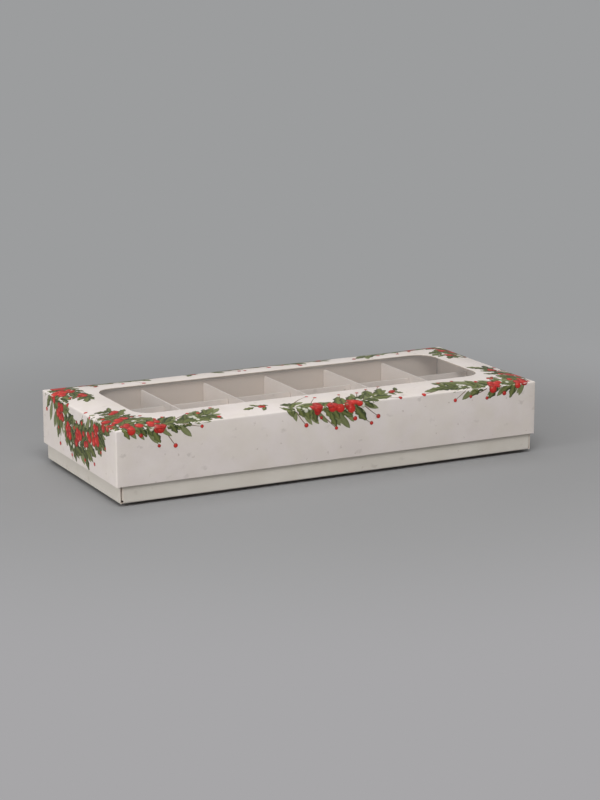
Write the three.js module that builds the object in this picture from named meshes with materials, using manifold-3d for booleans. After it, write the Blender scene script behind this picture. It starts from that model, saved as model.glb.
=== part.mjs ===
// Candy gift box: a lift-off lid with a film window over a hollow-walled tray
// that holds a slotted lattice of dividers. Everything is folded or cut from board.
// Millimetres, +Z up, origin at the centre of the tray's underside, +X along the length.

import * as THREE from 'three';
import { mergeVertices } from 'three/addons/utils/BufferGeometryUtils.js';
import Module from 'manifold-3d';

const wasm = await Module();
wasm.setup();

// Driving dimensions

const board = 0.5; // thickness of the folding board
const film = 0.2; // thickness of the clear window film
const creaseInside = 0.3; // inside radius of a fold along a wall
const cornerInside = 0.5; // inside radius of the lid's upright corner folds

const lidLength = 240;
const lidWidth = 100.5;
const lidDepth = 28.4; // height of the lid's walls
const boxHeight = 37.2; // from the table to the closed lid's creases
const lidCrown = 1.8; // rise of the lid's top from its creases to the window
const lidTabLength = 16; // glue tabs folded round the lid's corners
const lidTabInset = 1.6; // tabs stop this far short of the lid's top and rim
const lidTabTaper = 3; // how far a tab narrows to its free end

const windowRimEnd = 20.5; // lid rim left at each end of the window
const windowRimSide = 20.25; // lid rim left along each long side
const windowCorner = 10; // corner radius of the window
const filmOverlap = 6; // film glued under the rim
const filmMargin = 0.25; // flat board left beyond the film's edge
const filmCorner = 3;

const lidPlayEnd = 1.05; // between a lid end's glue tabs and the tray
const lidPlaySide = 0.75; // between a long lid wall and the tray
const restGap = 0.3; // between the lid's creases and the tray's ledge

const endLedge = 10; // width of the hollow wall at each end of the tray
const sideLedge = 17; // width of the hollow wall along each long side
const mitreGap = 0.6; // cut between two ledges at a corner
const cornerSlit = 0.6; // between an end wall and the tab folded behind it
const wallFootGap = 0.3; // between an inner wall's foot and the floor
const trayTabLength = 14; // tabs folded round the tray's corners
const trayTabInset = 1.2; // tabs stop this far short of the floor and the ledge

const columns = 6; // cells along the box
const dividerEndPlay = 0.5; // between a divider's end and the wall beside it
const dividerFootGap = 0.2; // between a divider and the floor
const crossDividerDrop = 0.4; // cross dividers stop this far under the ledge
const longDividerDrop = 2.1; // the long divider stops this far under the cross dividers
const slotPlay = 0.3; // on each side of a board in its slot
const slotSeat = 0.3; // between the ends of two crossing slots
const slotMouth = 0.8; // bevel on the mouth of a slot
const dividerCorner = 1.2; // radius of a divider's upper corners

// Sizes that follow

const crease = creaseInside + board; // outside radius of a fold along a wall
const cornerFold = cornerInside + board; // outside radius of an upright corner fold
const lidBottom = boxHeight - lidDepth;
const lidUnderside = boxHeight - board;
const lidTop = boxHeight + lidCrown;
const windowUnderside = lidTop - board;
const windowLength = lidLength - 2 * windowRimEnd;
const windowWidth = lidWidth - 2 * windowRimSide;
const flatMargin = 2 * (filmOverlap + filmMargin);
const crownLength = lidLength - 2 * cornerFold;
const crownWidth = lidWidth - 2 * cornerFold;

const trayLength = lidLength - 2 * (2 * board + lidPlayEnd);
const trayWidth = lidWidth - 2 * (board + lidPlaySide);
const trayHeight = lidUnderside - restGap;
const cavityLength = trayLength - 2 * endLedge;
const cavityWidth = trayWidth - 2 * sideLedge;

const cellPitch = cavityLength / columns;
const dividerFoot = board + dividerFootGap;
const crossDividerTop = trayHeight - crossDividerDrop;
const longDividerTop = crossDividerTop - longDividerDrop;
const slotMeet = (dividerFoot + longDividerTop) / 2;
const slotHalf = board / 2 + slotPlay;

const foldSteps = 2; // a quarter round at a fold gets twice this many facets
const windowSteps = 6; // and a quarter round of the window twice this many
const cutMargin = 2; // cutting bodies reach this far past what they cut

// Board, film and their colours

const lidCard = { color: 0xe9e2dc, roughness: 0.62, metalness: 0 };
const trayCard = { color: 0xdedad5, roughness: 0.7, metalness: 0 };
const dividerCard = { color: 0xd8d2c8, roughness: 0.75, metalness: 0 };
const clearFilm = { color: 0xf2f5f6, roughness: 0.06, metalness: 0, transparent: true, opacity: 0.2 };

// Solids: a closed three.js geometry becomes a body that can be joined and cut

function solid(geometry) {
  const bare = geometry.clone();
  bare.deleteAttribute('normal');
  bare.deleteAttribute('uv');
  const merged = mergeVertices(bare, 1e-4);
  return new wasm.Manifold(new wasm.Mesh({
    numProp: 3,
    vertProperties: new Float32Array(merged.attributes.position.array),
    triVerts: new Uint32Array(merged.index.array),
  }));
}

function geometryOf(body) {
  const mesh = body.getMesh();
  const geometry = new THREE.BufferGeometry();
  geometry.setAttribute('position', new THREE.BufferAttribute(new Float32Array(mesh.vertProperties), 3));
  geometry.setIndex(new THREE.BufferAttribute(new Uint32Array(mesh.triVerts), 1));
  geometry.computeVertexNormals();
  return geometry;
}

function part(name, body, finish) {
  const mesh = new THREE.Mesh(geometryOf(body), new THREE.MeshStandardMaterial(finish));
  mesh.name = name;
  return mesh;
}

// Upright prism over a plan outline
function prism(shape, low, high, curveSegments = foldSteps) {
  const options = { depth: high - low, bevelEnabled: false, curveSegments };
  return new THREE.ExtrudeGeometry(shape, options).translate(0, 0, low);
}

// Block between two corners
function block(low, high) {
  const size = high.map((value, axis) => value - low[axis]);
  const centre = high.map((value, axis) => (value + low[axis]) / 2);
  return new THREE.BoxGeometry(...size).translate(...centre);
}

// Profile drawn in (inward, up), extruded along one side of the box, starting faceOffset from its
// middle plane; inward is the plan direction towards the box's centre
function alongWall(profile, inward, faceOffset, length) {
  const options = { depth: length, bevelEnabled: false, curveSegments: foldSteps };
  const up = new THREE.Vector3(0, 0, 1);
  const along = new THREE.Vector3().crossVectors(inward, up);
  const place = new THREE.Matrix4().makeBasis(inward, up, along);
  return new THREE.ExtrudeGeometry(profile, options)
    .translate(-faceOffset, 0, -length / 2)
    .applyMatrix4(place);
}

function roundedRectangle(length, width, radius) {
  const x = length / 2;
  const y = width / 2;
  const shape = new THREE.Shape();
  shape.moveTo(x - radius, -y);
  shape.absarc(x - radius, -y + radius, radius, -Math.PI / 2, 0, false);
  shape.absarc(x - radius, y - radius, radius, 0, Math.PI / 2, false);
  shape.absarc(-x + radius, y - radius, radius, Math.PI / 2, Math.PI, false);
  shape.absarc(-x + radius, -y + radius, radius, Math.PI, 1.5 * Math.PI, false);
  shape.closePath();
  return shape;
}

function polygon(points) {
  return new THREE.Shape(points.map(([x, y]) => new THREE.Vector2(x, y)));
}

// Outline of a strip of board folded square along a path. The path is the outside of every fold,
// and all the folds turn the same way: side is 1 for left and -1 for right.
function foldedStrip(points, side) {
  const path = points.map(([x, y]) => new THREE.Vector2(x, y));
  const normals = path.slice(1).map((point, i) => {
    const along = point.clone().sub(path[i]).normalize();
    return new THREE.Vector2(-along.y, along.x).multiplyScalar(side);
  });
  const folds = path.slice(1, -1).map((point, i) => ({
    centre: point.clone().addScaledVector(normals[i], crease).addScaledVector(normals[i + 1], crease),
    start: Math.atan2(-normals[i].y, -normals[i].x),
    end: Math.atan2(-normals[i + 1].y, -normals[i + 1].x),
  }));
  const inside = (point, normal) => point.clone().addScaledVector(normal, board);
  const last = path[path.length - 1];
  const lastInside = inside(last, normals[normals.length - 1]);
  const firstInside = inside(path[0], normals[0]);
  const clockwise = side < 0;
  const shape = new THREE.Shape();
  shape.moveTo(path[0].x, path[0].y);
  for (const { centre, start, end } of folds) {
    shape.absarc(centre.x, centre.y, crease, start, end, clockwise);
  }
  shape.lineTo(last.x, last.y);
  shape.lineTo(lastInside.x, lastInside.y);
  for (const { centre, start, end } of folds.reverse()) {
    shape.absarc(centre.x, centre.y, creaseInside, end, start, !clockwise);
  }
  shape.lineTo(firstInside.x, firstInside.y);
  shape.closePath();
  return shape;
}

// Lid: one blank folded down on four sides, its top crowned, with glue tabs inside its ends

// Block with rounded upright corners and rounded upper and lower edges
function roundedBlock(length, width, low, high, corner, edge) {
  const options = {
    depth: high - low - 2 * edge,
    bevelEnabled: true,
    bevelThickness: edge,
    bevelSize: edge,
    bevelOffset: -edge,
    bevelSegments: 2 * foldSteps,
    curveSegments: foldSteps,
  };
  return new THREE.ExtrudeGeometry(roundedRectangle(length, width, corner), options)
    .translate(0, 0, low + edge);
}

// Block whose top rises on four sides from the eaves to a flat panel round the window
function crownedBlock(eaves) {
  const slopes = (across, flat, inward, length) => {
    const low = eaves - cutMargin;
    const run = (across - flat) / 2;
    const profile = polygon([
      [0, low],
      [across, low],
      [across, eaves],
      [across - run, eaves + lidCrown],
      [run, eaves + lidCrown],
      [0, eaves],
    ]);
    return solid(alongWall(profile, inward, across / 2, length));
  };
  const sides = slopes(crownWidth, windowWidth + flatMargin, new THREE.Vector3(0, 1, 0), lidLength);
  const ends = slopes(crownLength, windowLength + flatMargin, new THREE.Vector3(1, 0, 0), lidWidth);
  return sides.intersect(ends);
}

function lidTab(xSide, ySide) {
  const root = lidWidth / 2 - board / 2;
  const tip = root - lidTabLength;
  const low = lidBottom + lidTabInset;
  const high = lidUnderside - lidTabInset;
  const outline = polygon([
    [ySide * root, low],
    [ySide * root, high],
    [ySide * tip, high - lidTabTaper],
    [ySide * tip, low + lidTabTaper],
  ]);
  const wallFace = lidLength / 2 - board;
  const wallLap = board / 2;
  const start = xSide > 0 ? wallFace - board : -wallFace - wallLap;
  const place = new THREE.Matrix4().makeBasis(
    new THREE.Vector3(0, 1, 0),
    new THREE.Vector3(0, 0, 1),
    new THREE.Vector3(1, 0, 0),
  );
  return new THREE.ExtrudeGeometry(outline, { depth: board + wallLap, bevelEnabled: false })
    .translate(0, 0, start)
    .applyMatrix4(place);
}

function makeLid() {
  const below = lidBottom - cutMargin - crease;
  const outer = roundedBlock(lidLength, lidWidth, below, boxHeight, cornerFold, crease);
  const hollowLength = lidLength - 2 * board;
  const hollowWidth = lidWidth - 2 * board;
  const hollowFoot = below - cutMargin;
  const hollow = roundedBlock(
    hollowLength, hollowWidth, hollowFoot, lidUnderside, cornerInside, creaseInside,
  );
  const reach = lidLength;
  const trim = block([-reach, -reach, hollowFoot], [reach, reach, lidBottom]);
  const opening = roundedRectangle(windowLength, windowWidth, windowCorner);
  let lid = solid(outer)
    .add(crownedBlock(boxHeight))
    .subtract(solid(hollow))
    .subtract(crownedBlock(lidUnderside))
    .subtract(solid(trim))
    .subtract(solid(prism(opening, lidUnderside - cutMargin, lidTop + cutMargin, windowSteps)));
  for (const xSide of [-1, 1]) {
    for (const ySide of [-1, 1]) {
      lid = lid.add(solid(lidTab(xSide, ySide)));
    }
  }
  return lid;
}

// Window: clear film glued under the rim

function makeFilm() {
  const sheet = roundedRectangle(
    windowLength + 2 * filmOverlap,
    windowWidth + 2 * filmOverlap,
    filmCorner,
  );
  return solid(prism(sheet, windowUnderside - film, windowUnderside));
}

// Tray: floor, outer walls, ledges and inner walls folded from one blank

function hollowWall(ledge) {
  const floorLap = 2 * crease;
  return foldedStrip([
    [floorLap, 0],
    [0, 0],
    [0, trayHeight],
    [ledge, trayHeight],
    [ledge, board + wallFootGap],
  ], -1);
}

// Plan of one wall: a band along the outer wall, then the ledge between two mitres
function wallPlan(outerHalf, bandHalf, bandDepth, innerHalf, ledge) {
  const slope = (outerHalf - innerHalf) / ledge;
  const shift = mitreGap / 2 * Math.hypot(1, slope);
  const mitreAt = (depth) => outerHalf - slope * depth - shift;
  const half = [
    [bandHalf, -cutMargin],
    [bandHalf, bandDepth],
    [Math.min(bandHalf, mitreAt(bandDepth)), bandDepth],
    [mitreAt(ledge), ledge],
    [mitreAt(ledge), ledge + cutMargin],
  ];
  const mirrored = half.map(([along, depth]) => [-along, depth]).reverse();
  return [...half, ...mirrored];
}

function trayWall(inward, faceOffset, plan, ledge) {
  const along = new THREE.Vector2(-inward.y, inward.x);
  const corner = ([run, depth]) => [
    inward.x * (depth - faceOffset) + along.x * run,
    inward.y * (depth - faceOffset) + along.y * run,
  ];
  const outline = polygon(plan.map(corner));
  const wall = solid(alongWall(hollowWall(ledge), inward, faceOffset, 2 * lidLength));
  return wall.intersect(solid(prism(outline, -cutMargin, trayHeight + cutMargin)));
}

// Tab that continues a long wall round the corner, behind the end wall
function trayTab(xSide, ySide) {
  const face = trayLength / 2 - board - cornerSlit;
  const wallLap = 2 * crease;
  const path = [
    [face - wallLap, trayWidth / 2],
    [face, trayWidth / 2],
    [face, trayWidth / 2 - trayTabLength],
  ];
  const strip = foldedStrip(path.map(([x, y]) => [xSide * x, ySide * y]), -xSide * ySide);
  return solid(prism(strip, board + trayTabInset, trayHeight - board - trayTabInset));
}

function makeTray() {
  const floor = block(
    [-trayLength / 2 + crease, -trayWidth / 2 + crease, 0],
    [trayLength / 2 - crease, trayWidth / 2 - crease, board],
  );
  const longHalf = trayLength / 2 - board - cornerSlit - crease;
  const longPlan = wallPlan(trayLength / 2, longHalf, crease, cavityLength / 2, sideLedge);
  const endBand = board + cornerSlit / 2;
  const endPlan = wallPlan(trayWidth / 2, trayWidth / 2, endBand, cavityWidth / 2, endLedge);
  let tray = solid(floor);
  for (const side of [-1, 1]) {
    const acrossBox = new THREE.Vector3(0, -side, 0);
    const alongBox = new THREE.Vector3(-side, 0, 0);
    tray = tray
      .add(trayWall(acrossBox, trayWidth / 2, longPlan, sideLedge))
      .add(trayWall(alongBox, trayLength / 2, endPlan, endLedge))
      .add(trayTab(side, -1))
      .add(trayTab(side, 1));
  }
  return tray;
}

// Dividers: slotted strips that cross like an egg crate

// Strip outline with rounded upper corners and bevelled slots in its top or its foot
function dividerOutline(halfLength, top, slots, slotsOpenUp) {
  const radius = dividerCorner;
  const shape = new THREE.Shape();
  const slotPath = (centre, direction, edge, end) => {
    const inward = Math.sign(end - edge);
    const mouth = slotHalf + slotMouth;
    shape.lineTo(centre - direction * mouth, edge);
    shape.lineTo(centre - direction * slotHalf, edge + inward * slotMouth);
    shape.lineTo(centre - direction * slotHalf, end);
    shape.lineTo(centre + direction * slotHalf, end);
    shape.lineTo(centre + direction * slotHalf, edge + inward * slotMouth);
    shape.lineTo(centre + direction * mouth, edge);
  };
  shape.moveTo(-halfLength, dividerFoot);
  if (!slotsOpenUp) {
    slots.forEach((centre) => slotPath(centre, 1, dividerFoot, slotMeet + slotSeat / 2));
  }
  shape.lineTo(halfLength, dividerFoot);
  shape.absarc(halfLength - radius, top - radius, radius, 0, Math.PI / 2, false);
  if (slotsOpenUp) {
    slots.toReversed().forEach((centre) => slotPath(centre, -1, top, slotMeet - slotSeat / 2));
  }
  shape.absarc(-halfLength + radius, top - radius, radius, Math.PI / 2, Math.PI, false);
  shape.closePath();
  return shape;
}

// Stand the outline up in the plane of X and Z, centred on its thickness
function standingStrip(outline) {
  const options = { depth: board, bevelEnabled: false, curveSegments: foldSteps };
  return new THREE.ExtrudeGeometry(outline, options)
    .translate(0, 0, -board / 2)
    .rotateX(Math.PI / 2);
}

const crossingPlaces = Array.from(
  { length: columns - 1 },
  (_, i) => (i + 1) * cellPitch - cavityLength / 2,
);

function makeLongDivider() {
  const half = cavityLength / 2 - dividerEndPlay;
  return solid(standingStrip(dividerOutline(half, longDividerTop, crossingPlaces, true)));
}

function makeCrossDivider(x) {
  const half = cavityWidth / 2 - dividerEndPlay;
  const strip = standingStrip(dividerOutline(half, crossDividerTop, [0], false));
  return solid(strip.rotateZ(Math.PI / 2).translate(x, 0, 0));
}

// The box

const box = new THREE.Group();
box.name = 'candy_gift_box';

const lidGroup = new THREE.Group();
lidGroup.add(part('lid_board', makeLid(), lidCard));
lidGroup.add(part('window_film', makeFilm(), clearFilm));
box.add(lidGroup);

box.add(part('base_tray', makeTray(), trayCard));

const lattice = new THREE.Group();
lattice.add(part('long_divider', makeLongDivider(), dividerCard));
crossingPlaces.forEach((x, i) => {
  lattice.add(part(`cross_divider_${i + 1}`, makeCrossDivider(x), dividerCard));
});
box.add(lattice);

export default box;
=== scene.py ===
# %% [markdown]
# A flat gift box for sweets, folded from white board. The lid has a film window, the tray below it
# has hollow walls, and a lattice of slotted strips makes the cells. The solids come from the packed
# frame; this lesson adds what board, film and ink look like.

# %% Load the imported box
import math

import bpy
import numpy as np
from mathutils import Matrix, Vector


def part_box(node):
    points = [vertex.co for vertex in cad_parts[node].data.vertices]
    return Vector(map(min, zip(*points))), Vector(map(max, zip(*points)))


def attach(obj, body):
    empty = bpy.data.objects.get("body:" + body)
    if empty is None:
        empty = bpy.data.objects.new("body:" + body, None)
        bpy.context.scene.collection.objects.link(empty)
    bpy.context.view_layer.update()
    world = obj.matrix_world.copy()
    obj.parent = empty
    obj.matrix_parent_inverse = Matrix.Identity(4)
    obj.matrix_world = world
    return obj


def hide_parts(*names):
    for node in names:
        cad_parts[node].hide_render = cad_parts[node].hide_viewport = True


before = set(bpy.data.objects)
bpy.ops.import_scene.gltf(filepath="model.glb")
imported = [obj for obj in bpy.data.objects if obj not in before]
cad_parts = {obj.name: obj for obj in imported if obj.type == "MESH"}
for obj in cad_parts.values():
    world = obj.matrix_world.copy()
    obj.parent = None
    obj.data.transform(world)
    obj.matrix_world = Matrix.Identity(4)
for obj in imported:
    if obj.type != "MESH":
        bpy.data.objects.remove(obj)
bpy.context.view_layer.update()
MM = 0.001
print("nodes:", ", ".join(sorted(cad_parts)))

# %% [markdown]
# The camera stands where the photograph was taken: in front of the box, to its left and a little
# above it. Its place, turn, tilt and focal length were fitted to the edges of the lid and the
# tray, so the picture and the render can be laid over each other.

# %% Camera
PICTURE_HEIGHT = 800  # pixels, the long side of the picture
FOCAL_LENGTH = 2214  # in the same pixels
SENSOR = 36.0
CAMERA_PLACE = np.array([-510.9, -1012.3, 297.5]) * MM
CAMERA_TURN = 27.02  # degrees from +Y towards +X
CAMERA_TILT = 13.31  # degrees below the horizon


def add_camera():
    """Camera at its place, turned about z and tilted down. Returns its lens in millimetres."""
    lens = bpy.data.cameras.new("photo_camera")
    lens.sensor_width = SENSOR
    lens.lens = FOCAL_LENGTH * SENSOR / PICTURE_HEIGHT
    lens.clip_start = 0.01
    lens.clip_end = 100
    camera = bpy.data.objects.new("photo_camera", lens)
    camera.location = CAMERA_PLACE
    camera.rotation_euler = (math.radians(90 - CAMERA_TILT), 0, math.radians(-CAMERA_TURN))
    bpy.context.scene.collection.objects.link(camera)
    bpy.context.scene.camera = camera
    return lens.lens


print("lens:", round(add_camera(), 1), "mm")

# %% [markdown]
# Every finish below is a small sum of noises and masks. Nodes could be added and linked one by one,
# but a class that wraps a socket lets those sums be written as plain arithmetic: each operator adds
# one Math node. Any other node is made by one method, which sets the node's own settings first and
# then fills or links its sockets.


# %% Shader arithmetic
class Wire:
    """An output socket of a node tree. Arithmetic on it adds Math nodes."""

    def __init__(self, tree, socket=None):
        self.tree = tree
        self.socket = socket

    def node(self, kind, settings=None, sockets=None, output=0):
        """Add a node of this kind, set it up, fill its sockets and return one of its outputs."""
        made = self.tree.nodes.new("ShaderNode" + kind)
        for name, value in (settings or {}).items():
            setattr(made, name, value)
        for key, value in (sockets or {}).items():
            if isinstance(value, Wire):
                self.tree.links.new(value.socket, made.inputs[key])
            else:
                made.inputs[key].default_value = value
        return Wire(self.tree, made.outputs[output] if made.outputs else None)

    def math(self, operation, *values):
        return self.node("Math", {"operation": operation}, dict(enumerate(values)))

    def __add__(self, other):
        return self.math("ADD", self, other)

    def __sub__(self, other):
        return self.math("SUBTRACT", self, other)

    def __rsub__(self, other):
        return self.math("SUBTRACT", other, self)

    def __mul__(self, other):
        return self.math("MULTIPLY", self, other)

    __radd__ = __add__
    __rmul__ = __mul__

    def clamped(self):
        return self.math("MINIMUM", self.math("MAXIMUM", self, 0.0), 1.0)

    def ramp(self, low, high):
        """0 below low, 1 above high and smooth in between."""
        limits = {"Value": self, "From Min": low, "From Max": high}
        return self.node("MapRange", {"interpolation_type": "SMOOTHSTEP"}, limits)

    def mix(self, first, second):
        """Colour between two colours, with this value as the share of the second."""
        colours = {"Factor": self, 6: first, 7: second}
        return self.node("Mix", {"data_type": "RGBA"}, colours, output=2)

    def noise(self, scale, detail=2.0, roughness=0.5):
        """Cloudy noise on this vector; scale is in waves per metre."""
        settings = {"Vector": self, "Scale": scale, "Detail": detail, "Roughness": roughness}
        return self.node("TexNoise", None, settings)


def new_material(name):
    """An empty material and the wire that its nodes grow from."""
    material = bpy.data.materials.new(name)
    material.use_nodes = True
    material.node_tree.nodes.clear()
    return material, Wire(material.node_tree)


def finish_surface(start, shader):
    start.node("OutputMaterial", None, {"Surface": shader})


def rgb(red, green, blue):
    """Linear colour from sRGB values up to 255: a straight line near black, a power of 2.4 above."""
    share = np.array([red, green, blue]) / 255
    linear = np.where(share <= 0.04045, share / 12.92, ((share + 0.055) / 1.055) ** 2.4)
    return (*linear.tolist(), 1.0)


print("shader arithmetic is ready")

# %% [markdown]
# The studio is a wide, pale grey table under soft light. A lamp high in front, a little to the left,
# draws the shade under the lid's rim, a low one on the left lifts the end wall, a weaker one behind
# draws a soft shadow forwards, and an even sky fills the rest. A sky alone would be simpler, but it
# leaves little shade to read the folds by. The strengths were balanced against the tones of lid,
# tray, cells and table in the picture. What camera and gloss see of the sky is the grey of the
# backdrop, so that the film mirrors a plain studio. A tray's folded edges stand a millimetre or two
# clear of a table, which draws a black line under the box, so the table is set that much lower.

# %% Floor
BACKDROP = rgb(156, 157, 158)
FLOOR_FRONT = rgb(167, 166, 168)  # where the floor runs out of the picture in front
FLOOR_TONES = rgb(154, 154, 155), rgb(159, 159, 160)
FLOOR_FADE = (0.12, 0.34)  # metres from the box's middle between which the floor turns into backdrop
FLOOR_DEPTH = (-0.3, 0.3)  # metres along y between which the front's grey turns into the backdrop's
FLOOR_REACH = 30.0  # metres
FLOOR_GAP = 0.0016  # how far the tray's edges stand clear of the table, in metres
FLOOR_CELLS = 24


def mesh_piece(name, points, faces, material, smooth_below=None):
    """Object at the origin with these points (n, 3) and faces (m, 3 or 4)."""
    mesh = bpy.data.meshes.new(name)
    mesh.from_pydata(points.tolist(), [], faces.tolist())
    mesh.materials.append(material)
    if smooth_below is not None:
        mesh.polygons.foreach_set("use_smooth", np.ones(len(mesh.polygons), bool))
        mesh.set_sharp_from_angle(angle=math.radians(smooth_below))
    piece = bpy.data.objects.new(name, mesh)
    bpy.context.scene.collection.objects.link(piece)
    return piece


def grid_faces(rows, columns, close_rows=False, close_columns=False):
    """Quads of a grid of points numbered row by row, closed round either way if asked."""
    row = np.arange(rows if close_rows else rows - 1)[:, None]
    column = np.arange(columns if close_columns else columns - 1)[None, :]
    next_row = (row + 1) % rows
    next_column = (column + 1) % columns
    corners = (
        row * columns + column,
        next_row * columns + column,
        next_row * columns + next_column,
        row * columns + next_column,
    )
    return np.stack(np.broadcast_arrays(*corners), axis=-1).reshape(-1, 4)


def background_rays(start):
    """1 for the rays by which camera, gloss and clear film see the backdrop, 0 for those of light."""
    kinds = ("Is Camera Ray", "Is Glossy Ray", "Is Transmission Ray")
    seen, mirrored, passed = (start.node("LightPath", output=kind) for kind in kinds)
    return (seen + mirrored + passed).clamped()


def floor_material():
    material, start = new_material("studio_floor")
    place = start.node("TexCoord", output="Object")
    tone = place.noise(2.0, 3.0).ramp(0.3, 0.7)
    paper = start.node("BsdfPrincipled", None, {
        "Base Color": tone.mix(*FLOOR_TONES),
        "Roughness": 0.9,
        "Specular IOR Level": 0.1,
    })
    behind = start.node("SeparateXYZ", None, {0: place}, output="Y").ramp(*FLOOR_DEPTH)
    backdrop = start.node("Emission", None, {"Color": behind.mix(FLOOR_FRONT, BACKDROP)})
    away = start.node("VectorMath", {"operation": "LENGTH"}, {0: place}, output="Value")
    fade = away.ramp(*FLOOR_FADE) * background_rays(start)
    finish_surface(start, start.node("MixShader", None, {0: fade, 1: paper, 2: backdrop}))
    return material


def add_floor():
    """Flat square, a grid in x and y, just clear of the tray."""
    along = np.linspace(-FLOOR_REACH, FLOOR_REACH, FLOOR_CELLS + 1)
    x, y = np.meshgrid(along, along, indexing="ij")
    points = np.stack([x, y, np.full_like(x, -FLOOR_GAP)], axis=-1).reshape(-1, 3)
    faces = grid_faces(FLOOR_CELLS + 1, FLOOR_CELLS + 1)
    mesh_piece("studio_floor", points, faces, floor_material())


add_floor()
print("floor:", round(FLOOR_GAP / MM, 1), "mm below the box")

# %% Sky and lamps
SKY_LIGHT = rgb(255, 254, 252)
SKY_STRENGTH = 0.33
LAMPS = {  # place and aim in metres, side in metres, power in watts
    "back_softbox": ((0.1, 0.35, 1.1), (0, 0, 0), 0.5, 1.7),
    "left_softbox": ((-1.27, -0.27, 0.38), (0, 0, 0.02), 0.5, 6.1),
    "front_softbox": ((-0.3, -0.66, 1.04), (0, 0, 0.02), 0.6, 7.4),
}


def add_sky():
    world = bpy.data.worlds.new("studio_sky")
    world.use_nodes = True
    world.node_tree.nodes.clear()
    bpy.context.scene.world = world
    start = Wire(world.node_tree)
    light = start.node("Background", None, {"Color": SKY_LIGHT, "Strength": SKY_STRENGTH})
    backdrop = start.node("Background", None, {"Color": BACKDROP, "Strength": 1.0})
    sky = start.node("MixShader", None, {0: background_rays(start), 1: light, 2: backdrop})
    start.node("OutputWorld", None, {"Surface": sky})


def add_lamp(name, place, aim, size, power):
    """Square lamp at a place, turned to a point."""
    data = bpy.data.lights.new(name, "AREA")
    data.size = size
    data.energy = power
    lamp = bpy.data.objects.new(name, data)
    lamp.location = place
    direction = Vector(aim) - Vector(place)
    lamp.rotation_euler = direction.to_track_quat("-Z", "Y").to_euler()
    bpy.context.scene.collection.objects.link(lamp)


add_sky()
for lamp_name, lamp_settings in LAMPS.items():
    add_lamp(lamp_name, *lamp_settings)
bpy.context.scene.view_settings.view_transform = "Standard"
print("studio: a sky and", len(bpy.data.lights), "lamps")

# %% [markdown]
# White board is never one white. The coated outside is a warm off-white with broad, faint clouds of
# beige and a scatter of flecks, some faint and wide, some tiny and darker; the uncoated inside and
# the cut edges are plainer and a little greyer. Folds break the coating, so they are rougher; their
# paler tone is partly that broken coating and partly a painted highlight along the crease. On the
# dividers, faces that point up, the knife-cut upper edges, are painted paler: a painted highlight. A
# scanned sheet could carry all this, but noises on the object's own coordinates suit every side of
# every piece.

# %% Board finishes
FLECK_WAVES = 500.0  # to a metre, in the noise that shakes the flecks
FLECK_SHAKE = (0.004,) * 3  # its strength, in metres
FLECK_STRETCH = (0.6, 0.7, 1.0)  # below 1, flecks are drawn out that way
FLECKS = (  # number to a metre, core, reach, strength and colour
    (190.0, 0.06, 0.27, 0.26, rgb(150, 136, 126)),
    (240.0, 0.05, 0.13, 0.45, rgb(156, 134, 118)),
)
# paler folds: partly broken coating, partly a painted highlight along the crease
FOLD_WEAR_AND_HIGHLIGHT = rgb(246, 241, 236)


def flecks(place, scale, core, reach):
    """Scattered spots, scale of them to a metre: 1 within the core and 0 past the reach, both in shares
    of their spacing. A noise shakes the vector, so that the spots are uneven; on the walls they are
    drawn out sideways."""
    shake = place.node("TexNoise", None, {"Vector": place, "Scale": FLECK_WAVES}, output="Color")
    sockets = {0: shake, 1: FLECK_SHAKE, 2: place}
    shaken = place.node("VectorMath", {"operation": "MULTIPLY_ADD"}, sockets)
    drawn = place.node("VectorMath", {"operation": "MULTIPLY"}, {0: shaken, 1: FLECK_STRETCH})
    cells = {"Vector": drawn, "Scale": scale}
    spot = place.node("TexVoronoi", None, cells, output="Distance")
    chance = place.node("TexVoronoi", None, cells, output="Color")
    kind = place.node("SeparateColor", None, {0: chance})
    return (1 - spot.ramp(core, reach)) * kind.ramp(0.4, 1.0)


def board_material(name, light, dark, warm, raw_and_top_highlight, has_coating=True):
    """Clouds between two tones, flecks, fine grain, raw board where the coating ends and paler folds.
    Without a coating, faces that point up are painted paler: a painted highlight.
    """
    material, start = new_material(name)
    place = start.node("TexCoord", output="Object")
    clouds = place.noise(55.0, 4.0, 0.6).ramp(0.3, 0.72)  # about two centimetres across
    tint = place.noise(90.0, 2.0).ramp(0.35, 0.7)  # about one
    grain = place.noise(1100.0, 3.0, 0.6)  # about a millimetre
    tone = (clouds * 0.75 + grain * 0.25).mix(light, dark)
    tone = (tint * 0.25).mix(tone, warm)
    for scale, core, reach, strength, colour in FLECKS:
        tone = (flecks(place, scale, core, reach) * strength).mix(tone, colour)
    rough = 0.5 + grain * 0.12
    if has_coating:
        coated = start.node("Attribute", {"attribute_name": "coated"}, output="Fac")
        folded = start.node("Attribute", {"attribute_name": "fold"}, output="Fac")
        tone = coated.mix(raw_and_top_highlight, tone)
        # Folds are painted paler: partly the broken coating, partly a painted highlight along the
        # crease.
        tone = (folded * 0.12).mix(tone, FOLD_WEAR_AND_HIGHLIGHT)
        rough = rough + 0.2 * (1 - coated) + 0.1 * folded
    else:
        # Uncoated board: faces that point up, the dividers' knife-cut upper edges, are painted paler, a
        # painted highlight.
        normal = start.node("NewGeometry", output="Normal")
        level = start.node("SeparateXYZ", None, {0: normal}, output="Z").ramp(0.5, 0.9)
        tone = (level * 0.7).mix(tone, raw_and_top_highlight)
        rough = rough + 0.15
    relief = {"Strength": 0.12, "Distance": 0.0002, "Height": grain + clouds * 0.4}
    shader = start.node("BsdfPrincipled", None, {
        "Base Color": tone,
        "Roughness": rough.clamped(),
        "Specular IOR Level": 0.35,
        "Normal": start.node("Bump", None, relief),
    })
    finish_surface(start, shader)
    return material


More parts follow.
